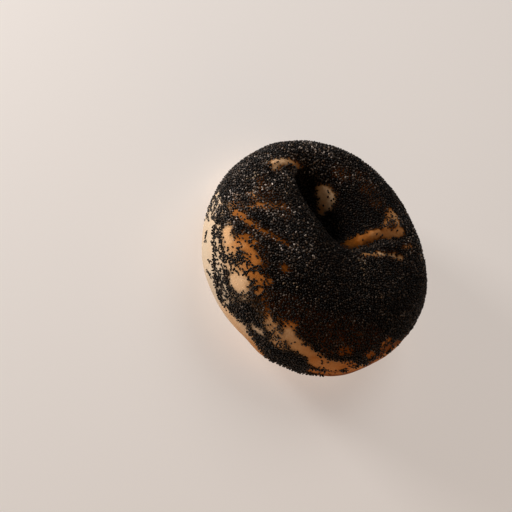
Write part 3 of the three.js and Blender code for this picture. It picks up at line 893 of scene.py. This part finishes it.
chained = []
for half, density, follow, _, path in CHAIN_PLACES.values():
    run = np.array(path[-1], float) - path[0]
    inside = np.flatnonzero(near_path_in_space(frayed, path) < half)
    for start in rng.choice(inside, int(len(inside) / draws_each_mm2 * density)):
        at_random = along_surface(rng.normal(0, 1, 3), normals[start]) * (1 - follow)
        with_path = along_surface(run, normals[start]) * follow * rng.choice((-1, 1))
        chained += grow_chain(start, at_random + with_path)
chain_index = np.array([index for index, _ in chained])
chain_heading = np.array([heading for _, heading in chained])
clear = keep_apart(points[chain_index], CHAIN_SPACING)
chain_index, chain_heading = chain_index[clear], chain_heading[clear]
print("seeds in chains:", len(chain_index))

# %% [markdown]
# ## The two layers
# The first layer fills the crust round the chains: a close packing where chains are, a wider one
# elsewhere. A few strays stay where the veins would have dropped them, so that a thin coat has odd
# single seeds too. The second layer lies on the first where the coat is thick, which makes the crown
# rough with seeds lying across each other.

# %% Fill the coat
USUAL_COAT_FROM = 0.9  # the usual coat begins where the chain places leave more than this share
STRAY_SHARE = 0.12
STRAYS_OPEN, STRAYS_ABOVE = 0.03, 0.9  # least shares left by the bare places and by the line
THICK_FROM = 0.75  # the cover that carries a second layer

outside_chains = left_by_chain_places(points) > USUAL_COAT_FROM
among_chains = np.flatnonzero(~outside_chains)
elsewhere = np.flatnonzero(outside_chains)
chain_points = points[chain_index]
packed = np.concatenate([
    among_chains[keep_apart(points[among_chains], CHAIN_SPACING, chain_points)],
    elsewhere[keep_apart(points[elsewhere], FIRST_SPACING, chain_points)],
])
stray = (rng.random(len(packed)) < STRAY_SHARE) & outside_chains[packed]
stray &= (open_crust[packed] > STRAYS_OPEN) & (above_line[packed] > STRAYS_ABOVE)
first = packed[(vein_rank(points[packed]) < cover[packed]) | stray]
thick = np.flatnonzero(cover > THICK_FROM)
second = thick[keep_apart(points[thick], SECOND_SPACING)]
print("seeds in the first layer:", len(first), "in the second:", len(second))

# %% Lay the seeds down
SEED_LENGTH, SEED_LENGTH_SPREAD = 1.12, 0.13  # mm
SHORTEST_SEED, LONGEST_SEED = 0.9, 1.6
CHAIN_SEED_GROWTH = 1.14
FIRST_LIFT, SECOND_LIFT, LIFT_SPREAD = 0.12, 0.58, 0.06  # mm from the crust to a seed's middle
CHAIN_TILT, FIRST_TILT, SECOND_TILT = 0.15, 0.28, 0.5


def lay(which, lift, tilt, heading=None):
    """Every seed of a layer as a 3 by 3 of its axes and a place, in mm."""
    count = len(which)
    normal = normals[which] + rng.normal(0, tilt, (count, 3))
    normal /= np.linalg.norm(normal, axis=1, keepdims=True)
    if heading is None:
        heading = rng.normal(0, 1, (count, 3))
    heading = heading - normal * (heading * normal).sum(1, keepdims=True)
    heading /= np.linalg.norm(heading, axis=1, keepdims=True)
    axes = np.stack([heading, np.cross(normal, heading), normal], 1)
    length = np.clip(rng.normal(SEED_LENGTH, SEED_LENGTH_SPREAD, count), SHORTEST_SEED, LONGEST_SEED)
    height = lift + rng.normal(0, LIFT_SPREAD, count)
    place = points[which] + normals[which] * height[:, None]
    return axes * length[:, None, None], place


chain_axes, chain_places = lay(chain_index, FIRST_LIFT, CHAIN_TILT, chain_heading)
first_axes, first_places = lay(first, FIRST_LIFT, FIRST_TILT)
first_axes[~outside_chains[first]] *= CHAIN_SEED_GROWTH
layers = [
    (chain_axes * CHAIN_SEED_GROWTH, chain_places),
    (first_axes, first_places),
    lay(second, SECOND_LIFT, SECOND_TILT),
]
seed_axes = np.concatenate([axes for axes, _ in layers])
seed_places = np.concatenate([place for _, place in layers])
print("seeds:", len(seed_places))

# %% [markdown]
# ## Dust and painted light
# Seeds that rub against each other shed a fine pale dust. Each seed gets one number that lightens it,
# for its dust and for painted light: the seeds are painted lighter towards the window's side and on the
# crowns, where they catch the light, and darker on the slope behind the hole and in the hole, as painted
# shade. The number is worked out from where the seed lies and broken up into clouds by noise. When the
# kinds are made, that number is multiplied by a draw of the seed's own, so that neighbours differ.

# %% Dust and painted light by place
# Half width, how dusty and how lit, path in mm; 0 is painted shade.
DUST_AND_LIGHT_PLACES = {
    # The crowns get dust and painted light, where their seeds catch the light.
    "crown of the fat roll": (8.0, 2.4,
        [(-38.7, -35.1, 30.8), (-32.3, -35.0, 38.1), (-23.2, -30.6, 43.1), (-7.0, -25.3, 45.1)]),
    "above the streak": (4.0, 3.6, [(-32.4, -29.1, 41.1), (-26.7, -26.9, 42.9), (-22.2, -21.1, 43.7)]),
    "crown of the thin end": (7.0, 3.0, [(-37.8, -17.6, 41.0), (-38.7, -1.9, 37.1), (-38.4, 16.9, 37.4)]),
    "far rim": (8.0, 1.8, [(5.7, 37.7, 38.7), (24.0, 34.0, 38.0)]),
    # Painted shade: the seeds on the slope behind the hole are darkened.
    "slope behind the hole": (11.0, 0.0, [(-6.0, 9.0, 30.0), (-12.0, 16.0, 31.0), (-8.0, 22.0, 36.0)]),
    "edge of the pale side": (4.5, 0.0,
        [(-32.9, -42.5, 25.0), (-25.5, -47.6, 25.0), (-18.6, -51.0, 23.3), (-8.0, -53.5, 20.6)]),
    "round the orange patch": (5.0, 0.1, [(-19.7, -49.0, 30.4), (-13.0, -48.6, 35.2), (-6.0, -46.5, 38.6)]),
}
DUST_AND_LIGHT_LEAST, DUST_AND_LIGHT_MOST = 0.35, 1.0
LIT_SIDE_FROM, LIT_SIDE_OVER = 10.0, 40.0  # mm along X; seeds painted lighter towards the window's side, at -X
# Painted shade: seeds in the hole get neither dust nor painted light.
DUST_AND_LIGHT_IN_HOLE = 0.0
DUST_AND_LIGHT_SOFT = 6.0
DUST_CLOUDS = [(3.2, 1.0), (9.0, 0.8)]  # size in mm and strength of the clouds in the dust
DUST_AND_LIGHT_TOP = 0.68

dust_and_light = DUST_AND_LIGHT_LEAST + (DUST_AND_LIGHT_MOST - DUST_AND_LIGHT_LEAST) * smooth((LIT_SIDE_FROM - seed_places[:, 0]) / LIT_SIDE_OVER)
for half, level, path in DUST_AND_LIGHT_PLACES.values():
    dust_and_light += (level - dust_and_light) * within(seed_places, path, half, DUST_AND_LIGHT_SOFT)
seed_hole_share = np.concatenate([hole_share[chain_index], hole_share[first], hole_share[second]])
dust_and_light += (DUST_AND_LIGHT_IN_HOLE - dust_and_light) * seed_hole_share
for size, strength in DUST_CLOUDS:
    dust_and_light *= np.exp(strength * lumps_at(seed_places, size))
print("dust, middle and most:", np.round((np.median(dust_and_light), dust_and_light.max()), 2))

# %% [markdown]
# ## The finish of a seed
# A seed hull is pitted like a honeycomb and only a little glossy. At this size its pits show as specks
# of light and dark, so the colour is broken up by the same blotches as the crust's, but much finer. The
# group takes the colour of a kind, lightens it by the seed's dust and painted light and by the specks,
# and leaves it darker and browner where there is neither: the seeds' own brown, with a painted warm
# light that stands for what is thrown back into the shade.

# %% Seed tone, shared by every kind of seed
TONE_IN_SHADE = (0.37, 0.26, 0.17)  # a seed's colour with no dust and no painted light: darker and browner, its own brown and a painted warm light thrown back in the shade
SPECK_LARGE, SPECK_SMALL = 1300.0, 3500.0
SPECK_LOW, SPECK_HIGH, SPECK_MOST = 0.38, 0.62, 2.0
DUST_AND_LIGHT_STRENGTH = 2.6
SEED_SPECULAR = 0.2

seed_tone, tone_in, tone_out = new_group(
    "seed_tone",
    [("Colour", "NodeSocketColor"), ("Spread", "NodeSocketFloat")],
    [("Colour", "NodeSocketColor")],
)
tint = add_node(seed_tone, "ShaderNodeAttribute", attribute_name="tint").outputs["Fac"]
specks = add_node(seed_tone, "ShaderNodeGroup", node_tree=blotch_group)
feed(seed_tone, specks, Large_Size=SPECK_LARGE, Small_Size=SPECK_SMALL, Share=0.5)
patches = add_node(seed_tone, "ShaderNodeMapRange")
feed(seed_tone, patches, s0=specks.outputs[0], s1=SPECK_LOW, s2=SPECK_HIGH, s3=0.0, s4=SPECK_MOST)
dust_and_light_share = math_node(seed_tone, "MULTIPLY", tint, tone_in.outputs["Spread"])
specked_dust_and_light = math_node(seed_tone, "MULTIPLY", dust_and_light_share, patches.outputs[0])
factor = add_node(seed_tone, "ShaderNodeVectorMath", operation="ADD")
feed(seed_tone, factor, s0=specked_dust_and_light, s1=TONE_IN_SHADE)
scaled = add_node(seed_tone, "ShaderNodeVectorMath", operation="MULTIPLY")
feed(seed_tone, scaled, s0=tone_in.outputs["Colour"], s1=factor.outputs[0])
seed_tone.links.new(scaled.outputs[0], tone_out.inputs["Colour"])


def seed_material(kind):
    """The finish of one kind of seed."""
    material, shader = node_material(kind["name"])
    tree = material.node_tree
    tone = add_node(tree, "ShaderNodeGroup", node_tree=seed_tone)
    feed(tree, tone, Colour=linear(*kind["colour"]), Spread=DUST_AND_LIGHT_STRENGTH)
    tree.links.new(tone.outputs[0], shader.inputs["Base Color"])
    shader.inputs["Roughness"].default_value = kind["rough"]
    shader.inputs["Specular IOR Level"].default_value = SEED_SPECULAR
    return material


# %% [markdown]
# ## The kinds of seed
# Seen close, poppy seeds are not one black: most are inky or charcoal, some slate grey, some brown, and
# a very few pale. Each kind is one joined mesh with its own colour. One template, turned and moved for
# every seed at once by a product of arrays, gives the whole mesh in a moment.

# %% Kinds
KINDS = [
    {"name": "poppy_seeds_ink", "share": 0.22, "colour": (9, 9, 10), "rough": 0.40},
    {"name": "poppy_seeds_soot", "share": 0.22, "colour": (18, 16, 15), "rough": 0.44},
    {"name": "poppy_seeds_charcoal", "share": 0.2, "colour": (38, 34, 32), "rough": 0.46},
    {"name": "poppy_seeds_slate", "share": 0.18, "colour": (88, 81, 76), "rough": 0.48},
    {"name": "poppy_seeds_umber", "share": 0.18, "colour": (54, 43, 34), "rough": 0.48},
    {"name": "poppy_seeds_pale", "share": 0.0, "colour": (142, 128, 110), "rough": 0.55},
]
# The last kind takes seeds from the others: a few everywhere, more in these places. Half width in mm,
# share, path.
PALE_SHARE = 0.002
PALE_PLACES = {
    "by the seam": (2.6, 0.4, [(11.1, 0.8, 41.7), (16.0, -1.5, 42.8)]),
    "top of the thin end": (3.0, 0.07, [(-44.0, -22.0, 37.0), (-46.0, -12.0, 37.5)]),
}

pale = np.full(len(seed_places), PALE_SHARE)
for half, share, path in PALE_PLACES.values():
    pale = np.maximum(pale, share * (near_path_in_space(seed_places, path) < half))
kind_of = np.searchsorted(np.cumsum([kind["share"] for kind in KINDS]), rng.random(len(seed_places)))
kind_of[rng.random(len(seed_places)) < pale] = len(KINDS) - 1
for number, kind in enumerate(KINDS):
    mine = np.flatnonzero(kind_of == number)
    shaped = np.einsum("pi,nij->npj", seed_points, seed_axes[mine]) + seed_places[mine][:, None]
    faces = seed_faces[None] + (np.arange(len(mine)) * len(seed_points))[:, None, None]
    tints = np.repeat(DUST_AND_LIGHT_TOP * rng.random(len(mine)) * dust_and_light[mine], len(seed_points))
    seeds = new_piece(
        kind["name"],
        to_frame(shaped.reshape(-1, 3)),
        faces.reshape(-1, 3),
        [("tint", tints)],
    )
    seeds.data.materials.append(seed_material(kind))
